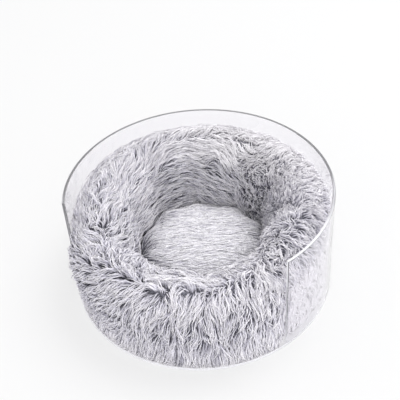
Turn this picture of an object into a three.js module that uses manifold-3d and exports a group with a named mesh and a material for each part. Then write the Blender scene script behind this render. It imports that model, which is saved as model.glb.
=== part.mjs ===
// A round plush pet bed: a stuffed fur ring with a pad in its middle, lying in a clear acrylic drum
// that is open at the front. Millimetres, +Z up. The origin is the centre of the drum's underside,
// and the way in faces -Y. Angles go round Z from +X.
import * as THREE from "three";
import { mergeVertices } from "three/addons/utils/BufferGeometryUtils.js";
import Module from "manifold-3d";

const wasm = await Module();
wasm.setup();

// Driving dimensions of the drum
const caseDiameter = 500;
const caseHeight = 215;
const wallThickness = 5;
const baseThickness = 5;
const edgeBreak = 0.6;
const openingAngle = THREE.MathUtils.degToRad(120);

// Driving dimensions of the cushion: heights above the surface that it lies on, and insets from its side
const sideClearance = 1.4;
const seamGap = 0.3;
const ringHeight = 202;
const frontRingHeight = 163;
const crestInset = 51.6;
const frontCrestInset = 36.6;
const shoulderHeight = 160;
const frontShoulderHeight = 104;
const frontBulge = 10;
const underTuck = 9;
const frontUnderTuck = 20;
const ringWidth = 110.6;
const creaseHeight = 74;
const padCrown = 9;
const padRoll = 25;
const ringPile = 17;
const padPile = 12;
const foldDepth = 6;
const crestWave = 4;

// Driving dimensions of the underside and its zip
const panelInset = 17.6;
const panelThickness = 3;
const zipMargin = 5;
const zipSlotWidth = 10;
const tapeWidth = 14;
const tapeThickness = 0.8;
const tapeEnd = 10;
const toothWidth = 2.4;
const toothHeight = 1.6;
const toothPitch = 6;
const toothNotch = 1;
const zipSlit = 1.4;
const sliderLength = 14;
const sliderWidth = 8.6;
const sliderPlate = 0.6;
const sliderWeb = 0.7;
const stopLength = 4;
const runningGap = 0.3;
const zipHeadroom = 0.8;
const cutOverrun = 2;

// Counts and shares
const stations = 72;
const foldCount = 10;
const slowFoldCount = 4;
const foldMixShare = 0.65;
const drumSteps = 90;
const bulgeRunShare = 0.2;
const sunkReachShare = 0.75;

// Values that follow from the sizes above
const caseRadius = caseDiameter / 2;
const wallInnerRadius = caseRadius - wallThickness;
const cushionFloor = baseThickness + seamGap;
const sideRadius = wallInnerRadius - sideClearance;
const creaseRadius = sideRadius - ringWidth;
const panelRadius = sideRadius - panelInset;
const panelTop = cushionFloor + panelThickness;
const fillFloor = panelTop + seamGap;
const frontAngle = -Math.PI / 2;
const turn = 2 * Math.PI;
const tapeLength = 2 * (creaseRadius - foldDepth - padPile - zipMargin);
const zipLength = tapeLength - 2 * tapeEnd;

// Materials
const material = (color, roughness, more = {}) =>
  new THREE.MeshStandardMaterial({ color, roughness, metalness: 0, ...more });
const acrylic = material(0xf4f6f8, 0.04, { transparent: true, opacity: 0.3 });
const longFur = material(0xd9d9e4, 0.95);
const shortFur = material(0xd4d2e2, 0.95);
const fibre = material(0xf5f5f3, 1);
const underCloth = material(0xb9bac4, 0.85);
const zipCloth = material(0xc9cad4, 0.8);
const zipNylon = material(0xd6d7de, 0.35);

const bed = new THREE.Group();
const drum = new THREE.Group();
const cushion = new THREE.Group();
const zip = new THREE.Group();
cushion.add(zip);
bed.add(drum, cushion);

function place(group, name, geometry, finish) {
  const mesh = new THREE.Mesh(geometry, finish);
  mesh.name = name;
  group.add(mesh);
  return mesh;
}

// Solids that are cut: a geometry becomes a manifold solid and comes back as a geometry.
function solid(geometry) {
  const bare = geometry.clone();
  bare.deleteAttribute("normal");
  bare.deleteAttribute("uv");
  const merged = mergeVertices(bare);
  const mesh = new wasm.Mesh({
    numProp: 3,
    vertProperties: new Float32Array(merged.attributes.position.array),
    triVerts: new Uint32Array(merged.index.array),
  });
  return new wasm.Manifold(mesh);
}

function geometryOf(body) {
  const mesh = body.getMesh();
  const geometry = new THREE.BufferGeometry();
  geometry.setAttribute("position", new THREE.BufferAttribute(mesh.vertProperties, mesh.numProp));
  geometry.setIndex(new THREE.BufferAttribute(mesh.triVerts, 1));
  return geometry;
}

function slab(shape, height, bottom) {
  const geometry = new THREE.ExtrudeGeometry(shape, { depth: height, bevelEnabled: false });
  return geometry.translate(0, 0, bottom);
}

// A box along X, Y and Z that is centred on the Z axis in plan.
function block(length, width, bottom, top) {
  const geometry = new THREE.BoxGeometry(length, width, top - bottom);
  return geometry.translate(0, 0, (bottom + top) / 2);
}

// The drum: a disc, and a bent sheet bonded on top of it flush with its rim
function discOf(radius, bottom, top, chamfer) {
  const profile = [
    new THREE.Vector2(0, bottom),
    new THREE.Vector2(radius - chamfer, bottom),
    new THREE.Vector2(radius, bottom + chamfer),
    new THREE.Vector2(radius, top - chamfer),
    new THREE.Vector2(radius - chamfer, top),
    new THREE.Vector2(0, top),
  ];
  return new THREE.LatheGeometry(profile, drumSteps);
}

function bentSheet() {
  const from = frontAngle + openingAngle / 2;
  const to = frontAngle - openingAngle / 2 + turn;
  const plan = new THREE.Shape();
  plan.absarc(0, 0, caseRadius, from, to, false);
  plan.absarc(0, 0, wallInnerRadius, to, from, true);
  const sheet = new THREE.ExtrudeGeometry(plan, {
    depth: caseHeight - baseThickness - 2 * edgeBreak,
    curveSegments: Math.round(drumSteps * (1 - openingAngle / turn)),
    bevelThickness: edgeBreak,
    bevelSize: edgeBreak,
    bevelOffset: -edgeBreak,
    bevelSegments: 1,
  });
  return sheet.translate(0, 0, baseThickness + edgeBreak);
}

const base = discOf(caseRadius, 0, baseThickness, edgeBreak);
base.rotateX(Math.PI / 2);
place(drum, "acrylic_base", base, acrylic);
place(drum, "acrylic_wall", bentSheet(), acrylic);

// The soft forms. Each is a section of (radius, height) points, swept round Z and worked out again
// at every station, so the ring can bulge and sink at the opening and gather in folds at the crease.
// Two of the stations lie on the wall's cut ends, whatever the opening's width.
const openStations = Math.round((stations * openingAngle) / turn);
function stationAngle(i) {
  const rest = i - openStations;
  const cut = frontAngle + openingAngle / 2;
  const behind = (turn - openingAngle) / (stations - openStations);
  return rest < 0 ? cut + (rest * openingAngle) / openStations : cut + rest * behind;
}

function smooth(value) {
  const t = THREE.MathUtils.clamp(value, 0, 1);
  return t * t * (3 - 2 * t);
}

function fromFront(angle) {
  return Math.abs(THREE.MathUtils.euclideanModulo(angle - frontAngle + Math.PI, turn) - Math.PI);
}

// 0 behind the wall, rising to 1 in the opening.
function opened(angle) {
  const half = openingAngle / 2;
  return smooth((half - fromFront(angle)) / (half * bulgeRunShare));
}

// 0 at the back, rising to 1 at the front: the ring sinks where no wall holds it up.
function sunk(angle) {
  return smooth((openingAngle * sunkReachShare - fromFront(angle)) / (openingAngle / 2));
}

// Soft gathers round the ring, between -1 and 1.
function fold(angle) {
  const quick = Math.sin(foldCount * angle);
  const slow = Math.sin(slowFoldCount * angle + foldCount);
  return foldMixShare * quick + (1 - foldMixShare) * slow;
}

const mix = THREE.MathUtils.lerp;
const creaseAt = (angle) => creaseRadius + foldDepth * fold(angle);

// Points of a quarter ellipse about (centre, level), from one angle to another.
function quarter(centre, level, reach, rise, from, to, steps) {
  const points = [];
  for (let i = 0; i <= steps; i += 1) {
    const t = mix(from, to, i / steps);
    points.push([centre + reach * Math.cos(t), level + rise * Math.sin(t)]);
  }
  return points;
}

// The ring's outline at one angle, drawn in by inset from its outer surface.
function ringOutline(angle, inset, outerSteps, innerSteps) {
  const out = mix(sideRadius, caseRadius + frontBulge, opened(angle));
  const crest = sideRadius - mix(crestInset, frontCrestInset, sunk(angle));
  const shoulder = cushionFloor + mix(shoulderHeight, frontShoulderHeight, sunk(angle));
  const height = mix(ringHeight, frontRingHeight, sunk(angle)) - crestWave * fold(angle);
  const top = cushionFloor + height - inset;
  const crease = creaseAt(angle) + inset;
  const creaseLevel = cushionFloor + creaseHeight;
  const outer = quarter(crest, shoulder, out - inset - crest, top - shoulder, 0, Math.PI / 2, outerSteps);
  const inner = quarter(
    crest, creaseLevel, crest - crease, top - creaseLevel, Math.PI / 2, Math.PI, innerSteps,
  );
  const tuck = mix(underTuck, frontUnderTuck, opened(angle));
  return { out: out - inset, tuck, crease, curve: [...outer, ...inner.slice(1)] };
}

// Two triangles of a quad, split along its shorter diagonal: a skin and what fills it split alike.
function quad(points, a, b, c, d) {
  const apart = (p, q) => Math.hypot(...points[p].map((value, axis) => value - points[q][axis]));
  return apart(b, c) < apart(a, d) ? [a, c, b, b, c, d] : [a, c, d, a, d, b];
}

function indexed(points, index) {
  const geometry = new THREE.BufferGeometry();
  geometry.setAttribute("position", new THREE.Float32BufferAttribute(points.flat(), 3));
  geometry.setIndex(index);
  return geometry;
}

// Sweeps a closed section round Z. The section's points run up the outside, over and down the inside.
function sweep(sectionAt) {
  const points = [];
  for (let i = 0; i < stations; i += 1) {
    const angle = stationAngle(i);
    sectionAt(angle).forEach(([r, z]) => points.push([r * Math.cos(angle), r * Math.sin(angle), z]));
  }
  const across = points.length / stations;
  const index = [];
  for (let i = 0; i < stations; i += 1) {
    const here = i * across;
    const next = ((i + 1) % stations) * across;
    for (let j = 0; j < across; j += 1) {
      const k = (j + 1) % across;
      index.push(...quad(points, here + j, here + k, next + j, next + k));
    }
  }
  return indexed(points, index);
}

// Sweeps an open section that starts and ends on the axis, with one point at each pole.
function capped(sectionAt) {
  const section = sectionAt(0);
  const inside = section.length - 2;
  const points = [[0, 0, section[0][1]]];
  for (let i = 0; i < stations; i += 1) {
    const angle = stationAngle(i);
    sectionAt(angle)
      .slice(1, -1)
      .forEach(([r, z]) => points.push([r * Math.cos(angle), r * Math.sin(angle), z]));
  }
  points.push([0, 0, section[section.length - 1][1]]);
  const last = points.length - 1;
  const index = [];
  for (let i = 0; i < stations; i += 1) {
    const here = 1 + i * inside;
    const next = 1 + ((i + 1) % stations) * inside;
    index.push(0, next, here);
    for (let j = 0; j < inside - 1; j += 1) {
      index.push(...quad(points, here + j, here + j + 1, next + j, next + j + 1));
    }
    index.push(here + inside - 1, next + inside - 1, last);
  }
  return indexed(points, index);
}

// The ring's fur skin: tucked under to the panel's edge outside, sewn down to the panel inside.
function bolsterCoverSection(angle) {
  const skin = ringOutline(angle, 0, 3, 3);
  const lining = ringOutline(angle, ringPile, 1, 2);
  const heel = panelRadius + seamGap;
  return [
    [heel, cushionFloor],
    [skin.out - skin.tuck, cushionFloor],
    [skin.out, cushionFloor + skin.tuck],
    ...skin.curve,
    [skin.crease, fillFloor],
    [lining.crease, fillFloor],
    ...lining.curve.reverse(),
    [heel, fillFloor],
  ];
}

function bolsterFillingSection(angle) {
  const core = ringOutline(angle, ringPile + seamGap, 1, 2);
  return [
    [core.crease, fillFloor + seamGap],
    [panelRadius, fillFloor + seamGap],
    ...core.curve,
  ];
}

// The pad in the middle: a crowned top that rolls over at its edge and meets the ring's inner wall.
// Each share is how far out a point lies, and how far up the roll.
const padRollShares = [
  [1, 0],
  [0.985, 0.55],
  [0.93, 0.85],
  [0.75, 0.97],
  [0.42, 1],
];

function padTop(angle, inset) {
  const edge = creaseAt(angle) - seamGap - inset;
  const edgeLevel = cushionFloor + creaseHeight - inset - padRoll;
  return padRollShares.map(([across, up]) => {
    const dome = padCrown * (1 - across * across);
    return [edge * across, edgeLevel + padRoll * up + dome];
  });
}

function padCoverSection(angle) {
  const skin = padTop(angle, 0);
  const lining = padTop(angle, padPile);
  const edge = skin[0][0];
  const crown = cushionFloor + creaseHeight + padCrown;
  return [
    [0, crown - padPile],
    ...lining.reverse(),
    [edge - padPile, fillFloor],
    [edge, fillFloor],
    ...skin,
    [0, crown],
  ];
}

function padFillingSection(angle) {
  const core = padTop(angle, padPile + seamGap);
  const edge = core[0][0];
  const crown = cushionFloor + creaseHeight + padCrown - padPile - seamGap;
  return [[0, fillFloor], [edge, fillFloor], ...core, [0, crown]];
}

place(cushion, "bolster_cover", sweep(bolsterCoverSection), longFur);
place(cushion, "bolster_filling", sweep(bolsterFillingSection), fibre);
place(cushion, "centre_pad_cover", capped(padCoverSection), shortFur);

// The zip's levels, from the slider's lower plate up to the groove above it
const teethTop = panelTop;
const teethBottom = teethTop - toothHeight;
const tapeTop = panelTop + tapeThickness;
const lowerPlateTop = teethBottom - runningGap;
const upperPlateBottom = tapeTop + runningGap;
const sliderTop = upperPlateBottom + sliderPlate;
const grooveTop = sliderTop + zipHeadroom;

// The pad's filling keeps a groove clear above the zip.
const grooveWidth = 2 * tapeWidth + zipSlit + 2 * runningGap;
const groove = block(tapeLength + 2 * runningGap, grooveWidth, fillFloor - cutOverrun, grooveTop);
const padFilling = solid(capped(padFillingSection)).subtract(solid(groove));
place(cushion, "centre_pad_filling", geometryOf(padFilling), fibre);

// The woven underside, slit for the zip
const slot = block(zipLength + 2 * stopLength, zipSlotWidth, cushionFloor - cutOverrun, panelTop + cutOverrun);
const panelDisc = new THREE.CylinderGeometry(panelRadius, panelRadius, panelThickness, stations);
panelDisc.rotateX(Math.PI / 2);
panelDisc.translate(0, 0, (cushionFloor + panelTop) / 2);
place(cushion, "bottom_panel", geometryOf(solid(panelDisc).subtract(solid(slot))), underCloth);

// One side of the zip: a woven tape with a row of teeth under its inner edge
function teethRow(side) {
  const near = (side * zipSlit) / 2;
  const far = near + side * toothWidth;
  const notch = near + side * toothNotch;
  const row = new THREE.Shape();
  row.moveTo(-zipLength / 2, far);
  row.lineTo(zipLength / 2, far);
  const count = Math.floor(zipLength / toothPitch);
  const step = zipLength / count;
  for (let i = 0; i < count; i += 1) {
    const right = zipLength / 2 - i * step;
    row.lineTo(right, near);
    row.lineTo(right - step / 2, near);
    row.lineTo(right - step / 2, notch);
    row.lineTo(right - step, notch);
  }
  return slab(row, toothHeight, teethBottom);
}

for (const [name, side] of [["left", 1], ["right", -1]]) {
  const tape = block(tapeLength, tapeWidth, panelTop, tapeTop);
  tape.translate(0, (side * (zipSlit + tapeWidth)) / 2, 0);
  place(zip, `zip_tape_${name}`, tape, zipCloth);
  place(zip, `zip_teeth_${name}`, teethRow(side), zipNylon);
}

// A stop at each end of the teeth, under both tapes
for (const [name, end] of [["closed_end", -1], ["open_end", 1]]) {
  const stop = block(stopLength - runningGap, 2 * toothWidth + zipSlit, teethBottom, teethTop);
  stop.translate((end * (zipLength + stopLength)) / 2, 0, 0);
  place(zip, `zip_stop_${name}`, stop, zipNylon);
}

// The slider: two plates joined by a web that runs in the slit. It starts at the closed end.
function sliderBody() {
  const halfPlate = sliderWidth / 2;
  const halfWeb = sliderWeb / 2;
  const outline = [
    [-halfPlate, lowerPlateTop - sliderPlate],
    [halfPlate, lowerPlateTop - sliderPlate],
    [halfPlate, lowerPlateTop],
    [halfWeb, lowerPlateTop],
    [halfWeb, upperPlateBottom],
    [halfPlate, upperPlateBottom],
    [halfPlate, sliderTop],
    [-halfPlate, sliderTop],
    [-halfPlate, upperPlateBottom],
    [-halfWeb, upperPlateBottom],
    [-halfWeb, lowerPlateTop],
    [-halfPlate, lowerPlateTop],
  ];
  const section = new THREE.Shape(outline.map(([y, z]) => new THREE.Vector2(y, z)));
  const body = new THREE.ExtrudeGeometry(section, { depth: sliderLength, bevelEnabled: false });
  body.rotateX(Math.PI / 2);
  body.rotateZ(Math.PI / 2);
  return body;
}

const slider = place(zip, "zip_slider", sliderBody(), zipNylon);
slider.position.x = -zipLength / 2 + runningGap;

export default bed;
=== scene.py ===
# A round plush pet bed: a stuffed long-pile ring with a pad in its middle, lying in a clear acrylic
# drum that is open at the front. Metres, +Z up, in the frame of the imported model.
import math

import bmesh
import bpy
import numpy as np
from mathutils import Euler, Matrix, Vector, bvhtree, kdtree, noise


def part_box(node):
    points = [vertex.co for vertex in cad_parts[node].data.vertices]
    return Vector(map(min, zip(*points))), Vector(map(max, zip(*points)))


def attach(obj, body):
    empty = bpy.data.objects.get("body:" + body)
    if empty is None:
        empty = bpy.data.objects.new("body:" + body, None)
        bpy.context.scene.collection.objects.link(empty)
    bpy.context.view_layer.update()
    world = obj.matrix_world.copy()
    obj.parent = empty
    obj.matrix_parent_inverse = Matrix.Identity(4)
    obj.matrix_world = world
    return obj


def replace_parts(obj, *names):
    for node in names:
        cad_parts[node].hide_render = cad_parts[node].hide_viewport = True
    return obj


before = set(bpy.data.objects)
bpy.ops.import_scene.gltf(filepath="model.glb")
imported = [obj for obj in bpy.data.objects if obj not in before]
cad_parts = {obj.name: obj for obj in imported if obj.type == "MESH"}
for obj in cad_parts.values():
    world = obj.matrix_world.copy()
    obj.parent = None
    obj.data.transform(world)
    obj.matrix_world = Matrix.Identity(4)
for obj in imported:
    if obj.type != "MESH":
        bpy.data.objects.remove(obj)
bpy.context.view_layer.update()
scene = bpy.context.scene

# The view: from the front right, looking down into the nest, a little tilted to the left. The lens and
# the distance are those at which the drum's rim, base and cut ends have the proportions of the real view.
camera_data = bpy.data.cameras.new("camera")
camera_data.sensor_width = 36
camera_data.lens = 73.45
camera_data.clip_end = 20
camera = bpy.data.objects.new("camera", camera_data)
scene.collection.objects.link(camera)
scene.camera = camera
view_azimuth = math.radians(26.03)
view_elevation = math.radians(41.05)
view_roll = math.radians(-4.25)
camera_place = (0.5041, -1.0276, 1.1808)
level_turn = Euler((math.pi / 2 - view_elevation, 0, view_azimuth)).to_matrix()
camera_turn = level_turn @ Matrix.Rotation(view_roll, 3, "Z")
camera.matrix_world = Matrix.Translation(camera_place) @ camera_turn.to_4x4()


# The clear drum: a polished acrylic disc with a 5 mm sheet bonded upright along its rim. The sheet is
# bent to two thirds of a circle, and all its edges are broken and flame polished.
def linked(name, mesh):
    piece = bpy.data.objects.new(name, mesh)
    scene.collection.objects.link(piece)
    return piece


def finished(bm, name, smooth_angle=math.radians(40), merge_within=1e-6):
    """The bmesh as a linked piece, with its doubles merged and its faces turned outwards."""
    bmesh.ops.remove_doubles(bm, verts=bm.verts, dist=merge_within)
    bmesh.ops.recalc_face_normals(bm, faces=bm.faces)
    mesh = bpy.data.meshes.new(name)
    bm.to_mesh(mesh)
    bm.free()
    mesh.shade_smooth()
    mesh.set_sharp_from_angle(angle=smooth_angle)
    return linked(name, mesh)


def bevel_sharp(bm, width, segments=2, least_angle=math.radians(50)):
    sharp = [e for e in bm.edges if len(e.link_faces) == 2 and e.calc_face_angle() > least_angle]
    bmesh.ops.bevel(
        bm, geom=sharp, offset=width, segments=segments, affect="EDGES", profile=0.5, material=-1,
    )


def raise_up(bm, faces, height):
    """Flat faces made solid: a copy of them is raised by height, with walls between."""
    raised = bmesh.ops.extrude_face_region(bm, geom=list(faces), use_keep_orig=True)["geom"]
    verts = [part for part in raised if isinstance(part, bmesh.types.BMVert)]
    bmesh.ops.translate(bm, verts=verts, vec=(0, 0, height))


def colour(code):
    """A colour written as six hex digits, as the linear values that shaders take."""
    parts = [int(code[i : i + 2], 16) / 255 for i in (0, 2, 4)]
    return [p / 12.92 if p <= 0.04045 else ((p + 0.055) / 1.055) ** 2.4 for p in parts] + [1]


def new_material(name, base, roughness, **sockets):
    material = bpy.data.materials.new(name)
    material.use_nodes = True
    shader = material.node_tree.nodes["Principled BSDF"]
    shader.inputs["Base Color"].default_value = colour(base)
    shader.inputs["Roughness"].default_value = roughness
    for socket, value in sockets.items():
        shader.inputs[socket.replace("_", " ")].default_value = value
    return material


def add_node(owner, kind, inputs=None, **settings):
    """A new node in a material or the sky, with its settings and its inputs' values or links."""
    node = owner.node_tree.nodes.new(kind)
    for key, value in settings.items():
        setattr(node, key, value)
    for key, value in (inputs or {}).items():
        if isinstance(value, bpy.types.NodeSocket):
            owner.node_tree.links.new(value, node.inputs[key])
        else:
            node.inputs[key].default_value = value
    return node


def arithmetic(owner, operation, *values):
    """The output of one Math node on sockets or numbers."""
    return add_node(owner, "ShaderNodeMath", dict(enumerate(values)), operation=operation).outputs[0]


def ranged(owner, value, start, end, low=0, high=1, step="LINEAR"):
    """The output of a Map Range node: low at start, high at end, and no further."""
    ends = {"Value": value, "From Min": start, "From Max": end, "To Min": low, "To Max": high}
    return add_node(owner, "ShaderNodeMapRange", ends, interpolation_type=step).outputs["Result"]


def own_place(material):
    """Where a point of the piece is, as the socket of a vector."""
    return add_node(material, "ShaderNodeTexCoord").outputs["Object"]


def finish_shader(material, **sources):
    """The material, with its shader fed by sockets, which are given by its inputs' names."""
    shader = material.node_tree.nodes["Principled BSDF"]
    for name, source in sources.items():
        material.node_tree.links.new(source, shader.inputs[name.replace("_", " ")])
    return material


def show_as(material, share, other):
    """The material's own shader, with another shader in its place by share."""
    nodes = material.node_tree.nodes
    shaders = {0: share, 1: nodes["Principled BSDF"].outputs[0], 2: other.outputs[0]}
    mixed = add_node(material, "ShaderNodeMixShader", shaders)
    material.node_tree.links.new(mixed.outputs[0], nodes["Material Output"].inputs["Surface"])
    return material


def clear_acrylic():
    """Glass-clear plastic that lets the lamps through to what stands in it."""
    material = new_material("clear_acrylic", "FDFCFF", 0.015, IOR=1.49, Transmission_Weight=0.985)
    rays = add_node(material, "ShaderNodeLightPath").outputs
    open_air = add_node(material, "ShaderNodeBsdfTransparent", {"Color": colour("FBFBFD")})
    return show_as(material, rays["Is Shadow Ray"], open_air)


def cut_edge():
    """The sheet's cut edges: flame polished, and less clear and paler at the way in and on the right, a
    painted highlight for the white reflection along those edges.
    """
    material = new_material("acrylic_edge", "F6F6FA", 0.3, IOR=1.49)
    polished, highlit_on_the_right, highlit_at_way_in = 0.84, 0.3, 0.2
    place = own_place(material)
    split = add_node(material, "ShaderNodeSeparateXYZ", {"Vector": place}).outputs
    to_the_right = {0: place, 1: (0.7, -0.7, 0)}
    reach = add_node(material, "ShaderNodeVectorMath", to_the_right, operation="DOT_PRODUCT").outputs[1]
    # Painted highlight: the edges turn from clear to pale on the right and at the way in.
    on_the_right = ranged(material, reach, 0.14, 0.19, polished, highlit_on_the_right, "SMOOTHSTEP")
    at_the_way_in = ranged(material, split["Y"], -0.128, -0.15, polished, highlit_at_way_in, "SMOOTHSTEP")
    clearness = arithmetic(material, "MINIMUM", on_the_right, at_the_way_in)
    return finish_shader(material, Transmission_Weight=clearness)


def show_edges(piece, is_sheet_face):
    """Clear faces, with the sheet's cut edges in the hazier edge finish."""
    piece.data.materials.append(acrylic)
    piece.data.materials.append(acrylic_edge)
    for face in piece.data.polygons:
        face.material_index = 0 if is_sheet_face(face) else 1


acrylic = clear_acrylic()
acrylic_edge = cut_edge()
wall_low, wall_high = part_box("acrylic_wall")
base_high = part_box("acrylic_base")[1]
drum_radius = base_high.y
sheet = 0.005
edge_break = 0.0007
polished_smooth = math.radians(20)
cement = 0.0001
wall_inside = drum_radius - sheet
cut_angle = math.asin(wall_low.y / drum_radius)
wall_turn = math.pi - 2 * cut_angle
wall_steps = 176

wall = bmesh.new()
foot = base_high.z + cement
wall_corners = [
    (wall_inside, foot), (drum_radius, foot), (drum_radius, wall_high.z), (wall_inside, wall_high.z),
]
start = Matrix.Rotation(cut_angle, 3, "Z")
section = wall.faces.new([wall.verts.new(start @ Vector((r, 0, z))) for r, z in wall_corners])
bmesh.ops.spin(
    wall, geom=[section, *section.edges, *section.verts], cent=(0, 0, 0), axis=(0, 0, 1),
    angle=wall_turn, steps=wall_steps, use_merge=False, use_duplicate=False,
)
bevel_sharp(wall, edge_break)
drum_wall = finished(wall, "drum_wall", polished_smooth)
clear_end = wall_high.x / 2


def is_clear_on_wall(face):
    """The sheet's two faces, and its right-hand cut end, which is polished clear."""
    out = face.center.to_2d()
    radial = abs(face.normal.x * out.x + face.normal.y * out.y) / math.hypot(*out)
    at_right_end = face.center.x > clear_end and face.center.y < wall_low.y + edge_break
    return abs(face.normal.z) < 0.5 and (radial > 0.8 or at_right_end)


show_edges(drum_wall, is_clear_on_wall)
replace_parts(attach(drum_wall, "drum"), "acrylic_wall")

disc = bmesh.new()
bmesh.ops.create_circle(disc, cap_ends=True, segments=240, radius=drum_radius)
raise_up(disc, disc.faces, base_high.z)
bevel_sharp(disc, edge_break)
drum_base = finished(disc, "drum_base", polished_smooth)
show_edges(drum_base, lambda face: abs(face.normal.z) > 0.99)
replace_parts(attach(drum_base, "drum"), "acrylic_base")


# The stuffed bodies of the ring and the pad: knitted backing cloth filled with polyester fibre. Each
# starts as its filling's shape and is blown up against the cloth, so it swells between the gathers.
def blended(material, share, first, second, how="MIX"):
    """The colour between two colours or colour sockets, by share."""
    inputs = {"Factor": share, "A": first, "B": second}
    return add_node(material, "ShaderNodeMix", inputs, data_type="RGBA", blend_type=how).outputs[2]


def length_of(material, vector):
    return add_node(material, "ShaderNodeVectorMath", {0: vector}, operation="LENGTH").outputs["Value"]


def knitted_backing():
    """The dense grey ground of the fur. Where the wall presses the pile flat, it is painted near white:
    painted light that lifts the shade in the gaps between the pressed strands. How much depends on how far
    out it is, and it runs from the wall's cut ends on back."""
    material = new_material("knitted_backing", "62626D", 0.95, Sheen_Weight=0.3)
    pressed_from, pressed_flat = 0.222, 0.232
    wall_begins, wall_covers = -0.128, -0.112
    place = own_place(material)
    fine = {"Vector": place, "Scale": 420, "Detail": 4}
    fuzz = add_node(material, "ShaderNodeTexNoise", fine).outputs["Fac"]
    ground = add_node(material, "ShaderNodeValToRGB", {"Fac": fuzz})
    for stop, position, shade in zip(ground.color_ramp.elements, (0.3, 0.75), ("686873", "9C9CA8")):
        stop.position, stop.color = position, colour(shade)
    flat = add_node(material, "ShaderNodeVectorMath", {0: place, 1: (1, 1, 0)}, operation="MULTIPLY")
    out = length_of(material, flat.outputs[0])
    split = add_node(material, "ShaderNodeSeparateXYZ", {"Vector": place}).outputs
    at_wall = ranged(material, out, pressed_from, pressed_flat)
    behind_wall = ranged(material, split["Y"], wall_begins, wall_covers)
    lifted_shade_behind_wall = arithmetic(material, "MULTIPLY", at_wall, behind_wall)
    # Painted light: near white behind the wall, where the gaps between pressed strands lie in shade.
    blend = blended(material, lifted_shade_behind_wall, ground.outputs["Color"], colour("F0ECFC"))
    bump = add_node(material, "ShaderNodeBump", {"Strength": 0.5, "Distance": 0.001, "Height": fuzz})
    return finish_shader(material, Base_Color=blend, Normal=bump.outputs["Normal"])


def coordinates(mesh):
    flat = np.empty(len(mesh.vertices) * 3)
    mesh.vertices.foreach_get("co", flat)
    return flat.reshape(-1, 3)


def apply_modifiers(piece):
    graph = bpy.context.evaluated_depsgraph_get()
    applied = bpy.data.meshes.new_from_object(piece.evaluated_get(graph))
    piece.modifiers.clear()
    piece.data = applied


def blow_up(piece, frames=20, pressure=4):
    cloth = piece.modifiers.new("cloth", "CLOTH")
    cloth.settings.use_pressure = True
    cloth.settings.uniform_pressure_force = pressure
    cloth.settings.effector_weights.gravity = 0
    cloth.collision_settings.use_collision = False
    for number in range(1, frames + 1):
        scene.frame_set(number)
    apply_modifiers(piece)
    scene.frame_set(1)


def stuffed(node, name, swell, give, side, voxel, flat_foot=0.03, past_cut=0.06):
    """A filling's solid remeshed, swelled evenly and blown up. The blowing moves no point further than
    give, and none goes out past side where the wall stands and a little past its cut ends. What lies on
    the floor stays flat, and it swells in full from flat_foot up."""
    bm = bmesh.new()
    bm.from_mesh(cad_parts[node].data)
    piece = finished(bm, name, math.pi)
    remesh = piece.modifiers.new("remesh", "REMESH")
    remesh.mode = "VOXEL"
    remesh.voxel_size = voxel
    apply_modifiers(piece)
    begin = coordinates(piece.data)
    normals = np.empty(begin.size)
    piece.data.vertices.foreach_get("normal", normals)
    normals = normals.reshape(-1, 3)
    floor_hold = np.clip((begin[:, 2] - begin[:, 2].min()) / flat_foot, 0, 1)[:, None]
    begin += swell * floor_hold * normals
    piece.data.vertices.foreach_set("co", begin.ravel())
    blow_up(piece)
    end = coordinates(piece.data)
    move = (end - begin) * floor_hold
    far = np.linalg.norm(move, axis=1, keepdims=True)
    end = begin + move * np.minimum(1, give / np.maximum(far, 1e-9))
    out = np.linalg.norm(end[:, :2], axis=1, keepdims=True)
    behind_wall = np.sin(np.arctan2(end[:, 1], end[:, 0])) > math.sin(cut_angle) - past_cut
    limit = np.where(behind_wall, side, np.inf)[:, None]
    end[:, :2] *= np.minimum(1, limit / np.maximum(out, 1e-9))
    piece.data.vertices.foreach_set("co", end.ravel())
    piece.data.update()
    piece.data.shade_smooth()
    return piece


backing = knitted_backing()
pile_room = 0.009
ring_side = wall_inside - pile_room
ring_body = stuffed("bolster_filling", "ring_body", swell=0.007, give=0.004, side=ring_side, voxel=0.008)
pad_body = stuffed("centre_pad_filling", "pad_body", swell=0.005, give=0.003, side=ring_side, voxel=0.007)
for body, node in ((ring_body, "bolster_filling"), (pad_body, "centre_pad_filling")):
    body.data.materials.append(backing)
    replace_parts(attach(body, "cushion"), node)


# The long fur: polyester pile about 4 cm long, sewn into the backing. It is grey at the root and lilac
# white at the tip. Two tapered, wavy strands that meet at the tip make a lock, and some four locks
# drawn together make a tuft.
strand_taper = np.array([0.85, 1.0, 0.95, 0.8, 0.55, 0.12])
strand_steps = len(strand_taper) - 1
strand_radius = (0.0006, 0.0009)


def tree_of(*bodies):
    """A search tree over the bodies' faces, to keep the pile on the surface that it lies on."""
    joined = bmesh.new()
    for body in bodies:
        joined.from_mesh(body.data)
    tree = bvhtree.BVHTree.FromBMesh(joined)
    joined.free()
    return tree


def nearest(tree, points):
    hits = [tree.find_nearest(Vector(p)) for p in points]
    return np.array([h[0] for h in hits]), np.array([h[1] for h in hits])


def unit(vectors):
    return vectors / np.maximum(np.linalg.norm(vectors, axis=-1, keepdims=True), 1e-12)


def swirl(points, size, seed):
    """A smooth random vector at each point, which turns over about the given size."""
    shift = Vector((seed * 7.3, seed * 3.1, seed * 5.7))
    return np.array([noise.noise_vector(Vector(p) / size + shift) for p in points])


def grow(tree, roots, normals, lay, length, lift, rise, random, curl, root_depth=0.001):
    """Centre lines of locks, which leave the root steeply and then lie along the surface as lay says."""
    surface, up = roots.copy(), normals.copy()
    points = [roots - root_depth * normals]
    stride = np.array([0.1, 0.19, 0.23, 0.24, 0.24])
    twist = random.normal(0, curl, len(roots))
    bend = random.normal(0, curl, len(roots))
    for step in range(strand_steps):
        along = lay(surface, up)
        across = np.cross(up, along)
        angle = twist + bend * step / strand_steps
        along = along * np.cos(angle)[:, None] + across * np.sin(angle)[:, None]
        surface, up = nearest(tree, surface + along * (length * stride[step])[:, None])
        points.append(surface + up * (lift * rise[:, step])[:, None])
    return np.stack(points, axis=1)


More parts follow.
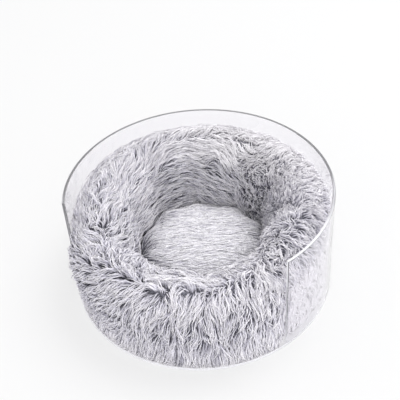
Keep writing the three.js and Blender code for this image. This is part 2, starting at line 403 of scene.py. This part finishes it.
def gather(guides, every, pull, waist=2):
    """Locks drawn together into tufts, each by its own pull towards the nearest tuft's middle, which is
    found by their waists. The numbers of their tufts come back with them."""
    middles = guides[::every]
    tree = kdtree.KDTree(len(middles))
    for number, line in enumerate(middles):
        tree.insert(line[waist], number)
    tree.balance()
    nearest_middle = [tree.find(line[waist])[1] for line in guides]
    drawn = pull[:, None, None] * np.linspace(0, 1, strand_steps + 1)[:, None] ** 1.5
    return guides + drawn * (middles[nearest_middle] - guides), nearest_middle


def clump(guides, strands, spread, wave, random):
    """Strands round each guide: apart at the root, together at the tip, each with a wave of its own."""
    count = len(guides)
    reach = random.uniform(0.72, 1.0, (count, strands, 1))
    where = np.linspace(0, 1, strand_steps + 1) * reach * strand_steps
    low = np.minimum(where.astype(int), strand_steps - 1)
    part = (where - low)[..., None]
    row = np.arange(count)[:, None, None]
    lines = guides[row, low] * (1 - part) + guides[row, low + 1] * part
    closing = np.array([1, 0.95, 0.8, 0.6, 0.4, 0.28])[:, None]
    apart = unit(random.normal(size=(count, strands, 1, 3))) * closing * spread
    lines += apart * random.uniform(0.3, 1, (count, strands, 1, 1))
    phase = random.uniform(0, 2 * math.pi, (count, strands, 1, 1))
    turns = random.uniform(0.7, 1.5, (count, strands, 1, 1))
    sway = unit(random.normal(size=(count, strands, 1, 3)))
    along = np.linspace(0, 1, strand_steps + 1)[:, None]
    lines += sway * wave * along * np.sin(phase + 2 * math.pi * turns * along)
    return lines.reshape(-1, strand_steps + 1, 3)


def strand_solids(sides):
    """The nodes that turn centre lines into solid strands, with a map that holds how far along a strand
    a point is, and the strand's own shade."""
    group = bpy.data.node_groups.new(f"strands_of_{sides}_sides", "GeometryNodeTree")
    group.interface.new_socket("Geometry", in_out="INPUT", socket_type="NodeSocketGeometry")
    group.interface.new_socket("Geometry", in_out="OUTPUT", socket_type="NodeSocketGeometry")
    nodes, links = group.nodes, group.links

    def named(attribute):
        node = nodes.new("GeometryNodeInputNamedAttribute")
        node.data_type = "FLOAT"
        node.inputs["Name"].default_value = attribute
        return node.outputs["Attribute"]

    source, sink = nodes.new("NodeGroupInput"), nodes.new("NodeGroupOutput")
    curves = nodes.new("GeometryNodeMeshToCurve")
    profile = nodes.new("GeometryNodeCurvePrimitiveCircle")
    profile.inputs["Resolution"].default_value = sides
    profile.inputs["Radius"].default_value = 1
    sweep = nodes.new("GeometryNodeCurveToMesh")
    sweep.inputs["Fill Caps"].default_value = True
    pair = nodes.new("ShaderNodeCombineXYZ")
    store = nodes.new("GeometryNodeStoreNamedAttribute")
    store.data_type, store.domain = "FLOAT2", "CORNER"
    store.inputs["Name"].default_value = "OFBake"
    links.new(source.outputs[0], curves.inputs[0])
    links.new(curves.outputs[0], sweep.inputs["Curve"])
    links.new(profile.outputs[0], sweep.inputs["Profile Curve"])
    links.new(named("thickness"), sweep.inputs["Scale"])
    links.new(sweep.outputs[0], store.inputs["Geometry"])
    links.new(named("along"), pair.inputs["X"])
    links.new(named("shade"), pair.inputs["Y"])
    links.new(pair.outputs[0], store.inputs["Value"])
    links.new(store.outputs[0], sink.inputs[0])
    return group


def strand_piece(name, lines, sides, material, **values):
    """One piece made of strands, from their centre lines and the values at the lines' points."""
    strands, points = lines.shape[:2]
    mesh = bpy.data.meshes.new(name)
    mesh.vertices.add(strands * points)
    mesh.vertices.foreach_set("co", lines.ravel())
    firsts = (np.arange(strands)[:, None] * points + np.arange(points - 1)).ravel()
    mesh.edges.add(len(firsts))
    mesh.edges.foreach_set("vertices", np.stack([firsts, firsts + 1], axis=1).ravel())
    for attribute, value in values.items():
        spread_out = np.broadcast_to(value, (strands, points)).ravel()
        mesh.attributes.new(attribute, "FLOAT", "POINT").data.foreach_set("value", spread_out)
    mesh.update()
    piece = linked(name, mesh)
    piece.modifiers.new("solids", "NODES").node_group = strand_solids(sides)
    apply_modifiers(piece)
    for attribute in values:
        piece.data.attributes.remove(piece.data.attributes[attribute])
    piece.data.shade_smooth()
    piece.data.materials.append(material)
    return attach(piece, "cushion")


def fur_piece(name, lines, thickness, shade, root_hidden, material):
    """One piece of fur in three-sided strands. A strand covers its grey root by the share given for it,
    which on the ring also carries painted light and a painted highlight.
    """
    to_tip = np.linspace(0.99, 0.02, len(strand_taper))
    return strand_piece(
        name, lines, 3, material,
        thickness=thickness[:, None] * strand_taper,
        along=1 - (1 - root_hidden[:, None]) * to_tip,
        shade=shade[:, None],
    )


def fur_material(name, root, middle, tip, dull):
    """Pile whose colour runs from root to tip along each strand, with duller strands among the pale."""
    material = new_material(name, tip, 0.7, Sheen_Weight=0.15, Specular_IOR_Level=0.3)
    strand_map = add_node(material, "ShaderNodeUVMap", uv_map="OFBake")
    split = add_node(material, "ShaderNodeSeparateXYZ", {"Vector": strand_map.outputs["UV"]})
    ramp = add_node(material, "ShaderNodeValToRGB", {"Fac": split.outputs["X"]})
    stops = ramp.color_ramp.elements
    stops[0].position, stops[0].color = 0.05, colour(root)
    stops[1].position, stops[1].color = 0.8, colour(tip)
    half = stops.new(0.35)
    half.color = colour(middle)
    tone = arithmetic(material, "POWER", split.outputs["Y"], 4)
    blend = blended(material, tone, ramp.outputs["Color"], colour(dull), how="MULTIPLY")
    return finish_shader(material, Base_Color=blend)


long_fur = fur_material("long_fur", "5A5865", "E6E4EE", "FEFCFF", "908E9E")
# Which way the pile lies every 30 degrees round the ring, counter-clockwise from +X, on its outer side,
# its crest and its inner slope: degrees from straight outwards, a quarter turn being counter-clockwise.
lie_outside = [-10, -30, -90, -125, -135, -135, -130, -90, -50, -25, -5, -5]
lie_on_crest = [-20, -30, -45, -75, -65, -55, -60, -80, -90, -80, -75, -45]
lie_inside = [-40, -25, -45, -125, -95, -70, -70, -100, -140, -150, -140, -90]
# How upright it stands there, from lying flat to standing on end, and how much of its length lies along
# the ring.
standing_shares = [1.0, 1.0, 0.8, 0.6, 0.6, 0.65, 0.6, 0.45, 0.35, 0.35, 0.4, 0.6]
lying_shares = [0.3, 0.3, 0.5, 0.9, 1.05, 1.1, 1.05, 0.85, 0.75, 0.75, 0.72, 0.58]
# How much its whorls disturb that, and how far its grey roots are covered on the crest there: a painted
# highlight where the lamp behind lights the crest. The last table gives how much further up the strands
# their grey runs.
whorl_shares = [2.0, 1.7, 1.1, 0.6, 0.4, 0.4, 0.3, 0.6, 1.3, 1.4, 1.6, 1.8]
crest_highlight_shares = [0.15, 0.45, 0.85, 1.0, 0.75, 0.3, 0.2, 0.2, 0.0, 0.1, 0.2, 0.25]
grey_shares = [0.15, 0.05, 0.0, 0.15, 0.2, 0.15, 0.1, 0.3, 0.15, 0.05, 0.1, 0.0]
round_the_ring = np.radians(np.arange(0, 391, 30))


def around(values, angle):
    """A value that is given every 30 degrees, at any angle."""
    return np.interp(angle % (2 * math.pi), round_the_ring, [*values, *values[:2]])


def lay_on_ring(points, up, side_slope=0.75, large_whorl=0.032, small_whorl=0.013):
    """The direction in which the ring's pile lies: the tables', with whorls, most of all on the crest.
    It is shorter at a whorl's middle, where the pile stands up instead."""
    angle = np.arctan2(points[:, 1], points[:, 0])
    outwards = np.stack([np.cos(angle), np.sin(angle), 0 * angle], axis=1)
    tangent = np.stack([-np.sin(angle), np.cos(angle), 0 * angle], axis=1)
    over = unit(np.cross(tangent, up))
    side = np.sum(outwards * up, axis=1)
    share_out = np.clip(side / side_slope, 0, 1)
    share_in = np.clip(-side / side_slope, 0, 1)
    share_top = 1 - share_out - share_in
    lie = 0
    for table, share in ((lie_outside, share_out), (lie_on_crest, share_top), (lie_inside, share_in)):
        heading = np.radians(around(table, angle))
        lie = lie + share[:, None] * (over * np.cos(heading)[:, None] + tangent * np.sin(heading)[:, None])
    strength = 0.5 + 1.1 * share_top + 0.7 * share_in
    unrest = (around(whorl_shares, angle) * strength)[:, None]
    fineness = (0.3 + 0.35 * around(standing_shares, angle) + 0.35 * share_top)[:, None]
    lie = lie + unrest * (swirl(points, large_whorl, 1) + fineness * swirl(points, small_whorl, 2))
    lie = lie - up * np.sum(lie * up, axis=1, keepdims=True)
    full, least = 0.8, 0.25
    return unit(lie) * np.clip(np.linalg.norm(lie, axis=1, keepdims=True) / full, least, 1)


golden_turn = math.pi * (3 - math.sqrt(5))


def ring_roots(tree, count, core_radius, core_height, from_below=-78, to_below=222):
    """Spread roots over the ring's outside, crest and inner slope, closer together on the crest. They
    are found from inside its body, between two angles in degrees from straight outwards."""
    sweep = np.linspace(math.radians(from_below), math.radians(to_below), 400)
    hits = [tree.ray_cast((0, core_radius, core_height), (0, math.cos(a), math.sin(a)))[0] for a in sweep]
    profile = np.array(hits)[:, 1:]
    steps = np.diff(profile, axis=0)
    area = (np.linalg.norm(steps, axis=1) + np.maximum(-steps[:, 0], 0)) * profile[1:, 0]
    share = np.concatenate([[0], np.cumsum(area)]) / area.sum()
    number = np.arange(count)
    lean = np.interp((number + 0.5) / count, share, sweep)
    angle = number * golden_turn
    roots, normals = [], []
    for a, s in zip(angle, lean):
        outwards = Vector((math.cos(a), math.sin(a), 0))
        ray = outwards * math.cos(s) + Vector((0, 0, math.sin(s)))
        place, normal, _, _ = tree.ray_cast(outwards * core_radius + Vector((0, 0, core_height)), ray)
        roots.append(place)
        normals.append(normal)
    return np.array(roots), np.array(normals)


panel_low, panel_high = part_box("bottom_panel")


def keep_in_drum(lines, wall_gap=0.0023, rim_gap=0.0008, bulge=0.013, ease=0.045):
    """Strands press flat against the wall and the base, outside the woven underside. Between the wall's
    cut ends they swell out past the base, and those at the bottom hang down to its rim."""
    hang_below, hang_over, drop, swell_over = 0.09, 0.065, 0.03, 0.045
    angle = np.arctan2(lines[..., 1], lines[..., 0])
    past_cut = np.clip((math.sin(cut_angle) - np.sin(angle)) / ease, 0, 1)
    out = np.linalg.norm(lines[..., :2], axis=-1)
    tipwards = np.array([0, 0, 0.4, 0.7, 0.9, 1])
    low = np.clip((hang_below - lines[..., 2]) / hang_over, 0, 1) * past_cut * tipwards
    hanging = out + low * np.maximum(0, drum_radius - rim_gap - out)
    height = lines[..., 2] - drop * low
    beside_panel = height < panel_high.z + rim_gap
    hanging = np.where(beside_panel, np.maximum(hanging, panel_high.x + rim_gap), hanging)
    above_rim = np.clip((height - base_high.z) / swell_over, 0, 1)
    swelling = sheet + wall_gap - rim_gap + (bulge + rim_gap) * above_rim * (2 - above_rim)
    limit = wall_inside - wall_gap + swelling * past_cut
    lines[..., :2] *= (np.minimum(hanging, limit) / out)[..., None]
    lines[..., 2] = np.maximum(height, base_high.z + rim_gap)
    return lines


random = np.random.default_rng(7)
noise.seed_set(6)
both = tree_of(ring_body, pad_body)
# Where it grows: not on the ring's foot inside, under the pad. Some of it is rubbed off by the wall.
roots, normals = ring_roots(tree_of(ring_body), count=26000, core_radius=0.19, core_height=0.1)
root_turn = np.arctan2(roots[:, 1], roots[:, 0])
facing_out = np.sum(normals[:, :2] * roots[:, :2], axis=1) / np.linalg.norm(roots[:, :2], axis=1)
foot_depth = 0.05
above_foot = roots[:, 2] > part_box("centre_pad_cover")[1].z - foot_depth
pressing_eases = 0.07
behind_wall = np.clip((np.sin(root_turn) - math.sin(cut_angle)) / pressing_eases, 0, 1)
pressed = np.clip(4 * (facing_out - 0.75), 0, 1) * behind_wall
rubbed_share = 0.2
rubbed_off = (pressed > 0.5) & (random.uniform(0, 1, len(roots)) < rubbed_share)
kept = ((facing_out > 0) | above_foot) & ~rubbed_off
roots, normals, facing_out, root_turn, pressed = [
    values[kept] for values in (roots, normals, facing_out, root_turn, pressed)
]
# How long it is, how far it stands off, and how it is drawn into tufts.
pile_length, pile_lift = (0.030, 0.046), (0.006, 0.0135)
on_crest = np.clip(1.3 * normals[:, 2] - 0.3, 0, 1)
standing = around(standing_shares, root_turn) * (1 - 0.7 * np.clip(1.6 * facing_out - 0.6, 0, 1))
lying = around(lying_shares, root_turn)
length = random.uniform(*pile_length, len(roots)) * (lying + (1 - lying) * np.clip(0.7 * facing_out, 0, 1))
lift = random.uniform(*pile_lift, len(roots)) * (1 + 0.25 * on_crest + 0.6 * standing)
lying_rise = np.array([0.55, 0.9, 1.0, 0.95, 0.8])
standing_rise = np.array([0.35, 0.6, 0.8, 0.92, 1.0])
rise = lying_rise + standing[:, None] * (standing_rise - lying_rise)
unruly = 1 - np.minimum(lying, 1)
guides = grow(both, roots, normals, lay_on_ring, length, lift, rise, random, curl=0.15 + 0.6 * unruly)
guides, tufts = gather(guides, every=4, pull=0.75 - 0.4 * unruly)
strands_in_lock = 2
lines = keep_in_drum(clump(guides, strands_in_lock, spread=0.0016, wave=0.0018, random=random))
# How thick and how grey it is. It is thicker where the wall presses it, and paler there, partly because
# the flattened pile covers its roots and partly as painted light for the acrylic's white haze and the
# shade between pressed strands. It is paler on parts of the crest as a painted highlight, and a little
# paler in the band that hangs down at the bottom.
thickness = random.uniform(*strand_radius, len(lines))
tuft_shade = random.uniform(0, 1, len(guides))[tufts]
lock_shade = np.repeat(0.3 * tuft_shade + 0.35 * random.uniform(0, 1, len(guides)), strands_in_lock)
shade = np.clip(lock_shade + 0.5 * random.uniform(0, 1, len(lines)), 0.01, 0.99)
band_top, band_height = 0.085, 0.05
in_band = np.clip((band_top - roots[:, 2]) / band_height, 0, 1) * ~(pressed > 0.5)
# Painted highlight on the crest, and partly painted light where the wall presses the pile.
pale = np.maximum(pressed, around(crest_highlight_shares, root_turn) * on_crest)
greyer = around(grey_shares, root_turn) * (1 - np.maximum(pale, in_band))
root_hidden = np.repeat(np.maximum(pale, 0.2 * in_band) - greyer, strands_in_lock)
thickness *= 1 + 1.4 * np.repeat(pressed, strands_in_lock)
# Where it is painted pale, its duller strands are evened out as well.
shade += 0.9 * np.repeat(pale, strands_in_lock) * (0.5 - shade)
# It is made in nine pieces round the ring, so that each stays light enough.
sectors = 9
root_angle = np.arctan2(lines[:, 0, 1], lines[:, 0, 0]) % (2 * math.pi)
sector = np.minimum((root_angle / (2 * math.pi) * sectors).astype(int), sectors - 1)
for number in range(sectors):
    mine = sector == number
    looks = (thickness[mine], shade[mine], root_hidden[mine])
    fur = fur_piece(f"ring_fur_{number + 1}", lines[mine], *looks, long_fur)
    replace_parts(fur, "bolster_cover")


# The short fur on the pad: the same yarn with a shorter pile that has been brushed one way, so that it
# lies flat in near-parallel locks across the pad. It runs a little way up the ring's foot, over the seam.
# Its colours are paler than the long fur's, partly as painted light that lifts the shade the ring casts
# into the nest.
short_fur = fur_material("short_fur", "9D9BA8", "F3F1F7", "FEFDFF", "CCCAD4")


def lay_on_pad(points, up):
    brushed = unit(np.array([0.93, 0.36, 0.0]))
    out = np.linalg.norm(points[:, :2], axis=1, keepdims=True)
    over_rim = 1.5 * np.clip((out / pad_radius - 0.8) / 0.2, 0, 1) * points / out
    lie = brushed + over_rim + 0.3 * swirl(points, 0.05, 3) + 0.25 * swirl(points, 0.015, 4)
    return unit(lie - up * np.sum(lie * up, axis=1, keepdims=True))


def pad_roots(tree, count, radius, height, top):
    """Roots in a sunflower pattern, seen from above the middle, over the pad and up the ring's foot."""
    number = np.arange(count)
    out = radius * np.sqrt((number + 0.5) / count)
    angle = number * golden_turn
    above = Vector((0, 0, top))
    aims = [Vector((r * math.cos(a), r * math.sin(a), height)) for r, a in zip(out, angle)]
    hits = [tree.ray_cast(above, (aim - above).normalized()) for aim in aims]
    hits = [hit for hit in hits if hit[0]]
    return np.array([h[0] for h in hits]), np.array([h[1] for h in hits])


pad_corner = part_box("centre_pad_filling")[1]
pad_radius = pad_corner.x + 0.003
foot_reach, below_top, above_wall = 0.016, 0.02, 0.1
roots, normals = pad_roots(
    both, count=4100, radius=pad_radius + foot_reach,
    height=pad_corner.z - below_top, top=wall_high.z + above_wall,
)
nap_length, nap_lift = (0.026, 0.036), (0.003, 0.0065)
length = random.uniform(*nap_length, len(roots))
lift = random.uniform(*nap_lift, len(roots))
rise = np.tile(lying_rise, (len(roots), 1))
guides = grow(both, roots, normals, lay_on_pad, length, lift, rise, random, curl=0.1)
lines = clump(guides, strands_in_lock, spread=0.0015, wave=0.001, random=random)
thickness = random.uniform(*strand_radius, len(lines))
shade = random.uniform(0.01, 0.99, len(lines))
for side, mine in (("left", lines[:, 0, 0] < 0), ("right", lines[:, 0, 0] >= 0)):
    looks = (thickness[mine], shade[mine], 0 * shade[mine])
    nap = fur_piece(f"pad_fur_{side}", lines[mine], *looks, short_fur)
    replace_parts(nap, "centre_pad_cover")


# The underside: a disc of plain-woven polyester sewn to the fur along its rim, and pressed flat by the
# bed's weight. A slot across its middle lets the filling in. Its hems are lockstitched with white thread.
def woven_cloth(name, warp, weft, yarn):
    """Plain weave in yarns of the given width, which pass over and under each other in two shades."""
    material = new_material(name, warp, 0.85, Sheen_Weight=0.25)
    place = own_place(material)
    split = add_node(material, "ShaderNodeSeparateXYZ", {"Vector": place}).outputs
    turn_x = arithmetic(material, "MULTIPLY", split["X"], math.pi / yarn)
    turn_y = arithmetic(material, "MULTIPLY", split["Y"], math.pi / yarn)
    sine_x, cosine_x = arithmetic(material, "SINE", turn_x), arithmetic(material, "COSINE", turn_x)
    sine_y, cosine_y = arithmetic(material, "SINE", turn_y), arithmetic(material, "COSINE", turn_y)
    warp_wave = arithmetic(material, "MULTIPLY", sine_x, cosine_y)
    weft_wave = arithmetic(material, "MULTIPLY", sine_y, arithmetic(material, "MULTIPLY", cosine_x, -1))
    warp_height = arithmetic(material, "ADD", arithmetic(material, "ABSOLUTE", sine_x), warp_wave)
    weft_height = arithmetic(material, "ADD", arithmetic(material, "ABSOLUTE", sine_y), weft_wave)
    height = arithmetic(material, "MAXIMUM", warp_height, weft_height)
    on_top = arithmetic(material, "GREATER_THAN", warp_height, weft_height)
    coarse = {"Vector": place, "Scale": 60, "Detail": 6}
    slub = add_node(material, "ShaderNodeTexNoise", coarse).outputs["Fac"]
    shade = arithmetic(material, "MULTIPLY_ADD", slub, 0.5, arithmetic(material, "MULTIPLY", on_top, 0.4))
    tone = blended(material, shade, colour(warp), colour(weft))
    bump = add_node(material, "ShaderNodeBump", {"Strength": 0.6, "Distance": 0.0003, "Height": height})
    return finish_shader(material, Base_Color=tone, Normal=bump.outputs["Normal"])


def spun_thread(name, shade, twist):
    """Sewing thread: plies that wind round it, a twist length apart."""
    material = new_material(name, shade, 0.6, Sheen_Weight=0.3)
    wave_at_scale_one = 0.314
    winding = {"Vector": own_place(material), "Scale": wave_at_scale_one / twist, "Distortion": 1}
    plies = add_node(material, "ShaderNodeTexWave", winding, bands_direction="DIAGONAL").outputs["Fac"]
    bump = add_node(material, "ShaderNodeBump", {"Strength": 0.7, "Distance": 0.0001, "Height": plies})
    return finish_shader(material, Normal=bump.outputs["Normal"])


def stitch_lines(path, height, pitch=0.0052, length=0.0036, dip=0.0006):
    """Centre lines of the lockstitches along a closed path. Each comes out of the cloth and dives back."""
    closed = np.vstack([path, path[:1]])
    run = np.concatenate([[0], np.cumsum(np.linalg.norm(np.diff(closed, axis=0), axis=1))])
    count = int(run[-1] / pitch)
    part = np.linspace(-1, 1, 6)
    marks = (np.arange(count)[:, None] + 0.5) * run[-1] / count + part * length / 2
    x, y = [np.interp(marks, run, closed[:, axis]) for axis in (0, 1)]
    z = np.broadcast_to(height + dip * part**4, x.shape)
    return np.stack([x, y, z], axis=-1)


def rectangle(length, width, corner):
    """The points of a rectangle with its corners rounded, counter-clockwise."""
    points = []
    for x, y, first in ((1, 1, 0), (-1, 1, 90), (-1, -1, 180), (1, -1, 270)):
        for a in np.radians(first + np.linspace(0, 90, 5)):
            across = x * (length / 2 - corner) + corner * math.cos(a)
            up = y * (width / 2 - corner) + corner * math.sin(a)
            points.append((across, up))
    return points


panel_radius = panel_high.x
slot_clearance = 0.0003
slot_length = 2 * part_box("zip_stop_open_end")[1].x + slot_clearance
slot_width = 0.010
panel = bmesh.new()
rim = bmesh.ops.create_circle(panel, segments=240, radius=panel_radius)["verts"]
bmesh.ops.translate(panel, verts=rim, vec=(0, 0, panel_low.z))
slot_corner = 0.001
slot_outline = rectangle(slot_length, slot_width, slot_corner)
slot_rim = [panel.verts.new((x, y, panel_low.z)) for x, y in slot_outline]
for here, after in zip(slot_rim, slot_rim[1:] + slot_rim[:1]):
    panel.edges.new((here, after))
bmesh.ops.triangle_fill(panel, use_beauty=True, use_dissolve=False, edges=panel.edges[:])
raise_up(panel, panel.faces, panel_high.z - panel_low.z)
hem_round = 0.0008
bevel_sharp(panel, hem_round, segments=3)
woven_panel = finished(panel, "woven_panel")
woven_panel.data.materials.append(woven_cloth("woven_underside", "B4B5C0", "CDCED6", yarn=0.0011))
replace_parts(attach(woven_panel, "cushion"), "bottom_panel")

thread_radius = 0.00025
seam_inset = 0.005
seam_radius = panel_radius - seam_inset
seam_turn = np.linspace(0, 2 * math.pi, 240, endpoint=False)
paths = [seam_radius * np.stack([np.cos(seam_turn), np.sin(seam_turn)], axis=1)]
hem_margins = (0.0025, 0.0075)
for margin in hem_margins:
    paths.append(rectangle(slot_length + 2 * margin, slot_width + 2 * margin, slot_corner + margin))
lines = np.concatenate([stitch_lines(np.array(path), panel_low.z) for path in paths])
white_thread = spun_thread("white_thread", "F0F0F4", twist=0.0006)
panel_stitches = strand_piece("panel_stitches", lines, 6, white_thread, thickness=thread_radius)


# The zip: two woven tapes over the slot with moulded nylon teeth under their inner edges, a crimped stop
# at each end, and a slider without a pull. The rows stay apart by the width of the slider's web.
def bar(bm, section, stations):
    """A bar along X: its (y, z) section carried through stations of (x, width share)."""
    loops = []
    for x, share in stations:
        verts = [bm.verts.new((x, y * share, z)) for y, z in section]
        loops.append([bm.edges.new((a, b)) for a, b in zip(verts, verts[1:] + verts[:1])])
    for here, after in zip(loops, loops[1:]):
        bmesh.ops.bridge_loops(bm, edges=here + after)
    for end in (loops[0], loops[-1]):
        bmesh.ops.contextual_create(bm, geom=end)


def stations_between(low, high, widths):
    """Stations for a bar between two corners of a box, from shares of its half length."""
    middle, reach = (low.x + high.x) / 2, (high.x - low.x) / 2
    return [(middle + share * reach, width) for share, width in widths]


def moulded_nylon():
    """Pale moulded nylon with the faint mottle of its mould."""
    material = new_material(
        "moulded_nylon", "D4D5DD", 0.35, Subsurface_Weight=0.1, Subsurface_Radius=(0.001, 0.001, 0.001),
    )
    grain = {"Vector": own_place(material), "Scale": 900, "Detail": 3}
    mottle = add_node(material, "ShaderNodeTexNoise", grain).outputs["Fac"]
    gloss = arithmetic(material, "MULTIPLY_ADD", mottle, 0.25, 0.25)
    bump = add_node(material, "ShaderNodeBump", {"Strength": 0.2, "Distance": 0.0001, "Height": mottle})
    return finish_shader(material, Roughness=gloss, Normal=bump.outputs["Normal"])


tape_cloth = woven_cloth("zip_tape_cloth", "C4C5CF", "D6D6DE", yarn=0.0005)
nylon = moulded_nylon()
moulded_crease = math.radians(60)
tooth_edge, stop_edge, slider_edge = 0.00012, 0.0002, 0.00015
tooth_pitch = 0.003
row_margin = 0.001
tooth_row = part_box("zip_teeth_left")[1].x - row_margin
# Half of a tooth's outline in millimetres, as distances along and across the tape: its foot clamps the
# tape's edge, and its head reaches into the slit.
tooth_half_outline = [
    (0, 3.1), (1.05, 3.1), (1.05, 2.1), (0.55, 1.8), (0.55, 1.45), (0.9, 1.25), (0.8, 0.85), (0, 0.72),
]
tape_bead = 0.0009
bead_step = 0.0001
low_edge, high_edge = 0.0002, 0.0003
for side_name, side in (("left", 1), ("right", -1)):
    tape_low, tape_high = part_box(f"zip_tape_{side_name}")
    near, far = sorted((abs(tape_low.y), abs(tape_high.y)))
    bottom, top = tape_low.z, tape_high.z
    tape_section = [
        (near, bottom + low_edge), (near + low_edge, bottom),
        (far - low_edge, bottom), (far, bottom + low_edge),
        (far, top - high_edge), (far - high_edge, top - bead_step),
        (near + tape_bead + low_edge, top - bead_step), (near + tape_bead, top),
        (near + high_edge, top), (near, top - high_edge),
    ]
    tape = bmesh.new()
    bar(tape, [(side * y, z) for y, z in tape_section], [(tape_low.x, 1), (0, 1), (tape_high.x, 1)])
    tape_piece = finished(tape, f"tape_{side_name}")
    tape_piece.data.materials.append(tape_cloth)
    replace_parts(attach(tape_piece, "cushion"), f"zip_tape_{side_name}")

    teeth_low, teeth_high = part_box(f"zip_teeth_{side_name}")
    teeth = bmesh.new()
    outline = [(x / 1000, y / 1000) for x, y in tooth_half_outline]
    outline += [(-x, y) for x, y in outline[-2:0:-1]]
    stagger = tooth_pitch / 2 if side < 0 else 0
    for number in range(int(2 * tooth_row / tooth_pitch)):
        middle = -tooth_row + tooth_pitch / 2 + number * tooth_pitch + stagger
        if middle > tooth_row:
            continue
        face = teeth.faces.new([teeth.verts.new((middle + x, side * y, teeth_low.z)) for x, y in outline])
        raise_up(teeth, [face], teeth_high.z - teeth_low.z)
    bevel_sharp(teeth, tooth_edge, segments=1, least_angle=moulded_crease)
    teeth_piece = finished(teeth, f"teeth_{side_name}")
    teeth_piece.data.materials.append(nylon)
    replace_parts(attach(teeth_piece, "cushion"), f"zip_teeth_{side_name}")

for end_name in ("closed_end", "open_end"):
    stop_low, stop_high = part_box(f"zip_stop_{end_name}")
    bottom, top, half = stop_low.z, stop_high.z, stop_high.y
    dent = bottom + 0.0003
    crimped_section = [(-half, bottom), (-half / 3, dent), (half / 3, dent), (half, bottom)]
    crimped_section += [(half, top), (-half, top)]
    waist = [(-1, 0.97), (-0.6, 1), (-0.25, 0.86), (0.25, 0.86), (0.6, 1), (1, 0.97)]
    stop = bmesh.new()
    bar(stop, crimped_section, stations_between(stop_low, stop_high, waist))
    bevel_sharp(stop, stop_edge, least_angle=moulded_crease)
    stop_piece = finished(stop, f"stop_{end_name}")
    stop_piece.data.materials.append(nylon)
    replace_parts(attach(stop_piece, "cushion"), f"zip_stop_{end_name}")

slider_low, slider_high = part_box("zip_slider")
plate = 0.0006
web_half = 0.00035
lip = 0.0007
lip_gap = 0.0004
lip_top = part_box("zip_teeth_left")[1].z - lip_gap
flank = slider_high.y
low_plate, high_plate = slider_low.z + plate, slider_high.z - plate
half_section = [
    (flank, slider_low.z), (flank, lip_top), (flank - lip, lip_top), (flank - lip, low_plate),
    (web_half, low_plate), (web_half, high_plate), (flank, high_plate), (flank, slider_high.z),
]
slider_section = half_section + [(-y, z) for y, z in reversed(half_section)]
slider_widths = [(-1, 0.93), (-0.8, 0.98), (-0.55, 1), (-0.1, 1), (0.5, 0.95), (1, 0.93)]
slider_bm = bmesh.new()
bar(slider_bm, slider_section, stations_between(slider_low, slider_high, slider_widths))
lug_half, lug_foot, lug_depth = 0.0011, 0.0007, 0.0006
lug_section = [
    (lug_half, slider_low.z), (lug_half, slider_low.z - lug_depth / 2),
    (lug_foot, slider_low.z - lug_depth),
]
lug_section += [(-y, z) for y, z in reversed(lug_section)]
lug_widths = [(-0.45, 0.8), (-0.35, 1), (0.35, 1), (0.45, 0.8)]
bar(slider_bm, lug_section, stations_between(slider_low, slider_high, lug_widths))
bevel_sharp(slider_bm, slider_edge, least_angle=moulded_crease)
slider_piece = finished(slider_bm, "slider")
slider_piece.data.materials.append(nylon)
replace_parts(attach(slider_piece, "slider"), "zip_slider")


# The floor and the light: a pale floor that runs out into white, a broad lamp behind on the right, a
# weaker one at the front left, and an even sky.
def seen_rays(owner):
    """1 for what is seen, straight, in a reflection or through the acrylic, and 0 for the light that
    falls on things."""
    rays = add_node(owner, "ShaderNodeLightPath").outputs
    seen = arithmetic(owner, "MAXIMUM", rays["Is Camera Ray"], rays["Is Glossy Ray"])
    return arithmetic(owner, "MAXIMUM", seen, rays["Is Transmission Ray"])


def pale_floor():
    """Matt white. To the eye, and through the acrylic, most of it is one even tone, so that the bed's
    shadow stays faint, and far away it is as white as the sky."""
    material = new_material("pale_floor", "F3F3F4", 0.9, Specular_IOR_Level=0.1)
    near, far, share_near = 1, 5, 0.74
    away = length_of(material, own_place(material))
    share = ranged(material, away, near, far, low=share_near)
    tone = blended(material, ranged(material, away, near, far), colour("F0F0F0"), colour("FFFFFF"))
    even_tone = add_node(material, "ShaderNodeEmission", {"Color": tone, "Strength": 1})
    return show_as(material, arithmetic(material, "MULTIPLY", seen_rays(material), share), even_tone)


floor_radius = 6
floor_gap = 0.0003
floor_bm = bmesh.new()
bmesh.ops.create_circle(floor_bm, cap_ends=True, segments=96, radius=floor_radius)
bmesh.ops.translate(floor_bm, verts=floor_bm.verts, vec=(0, 0, -floor_gap))
floor = finished(floor_bm, "floor")
floor.data.materials.append(pale_floor())


def lamp(name, azimuth, elevation, distance, size, power):
    """A square area lamp that faces the bed. Azimuth counts from +X, counter-clockwise."""
    data = bpy.data.lights.new(name, "AREA")
    data.size, data.energy = size, power
    light = linked(name, data)
    a, e = math.radians(azimuth), math.radians(elevation)
    towards = Vector((math.cos(a) * math.cos(e), math.sin(a) * math.cos(e), math.sin(e)))
    light.location = towards * distance
    light.rotation_euler = towards.to_track_quat("Z", "Y").to_euler()


lamp("key", azimuth=60, elevation=60, distance=4, size=2.5, power=90)
lamp("fill", azimuth=-65, elevation=24, distance=2.5, size=2.0, power=20)

world = bpy.data.worlds.new("sky")
world.use_nodes = True
scene.world = world
sky = world.node_tree.nodes["Background"]
sky.inputs["Color"].default_value = (1, 1, 1, 1)
light_on_things, white_to_the_eye = 0.95, 1
strength = ranged(world, seen_rays(world), 0, 1, low=light_on_things, high=white_to_the_eye)
world.node_tree.links.new(strength, sky.inputs["Strength"])

scene.view_settings.view_transform = "Standard"
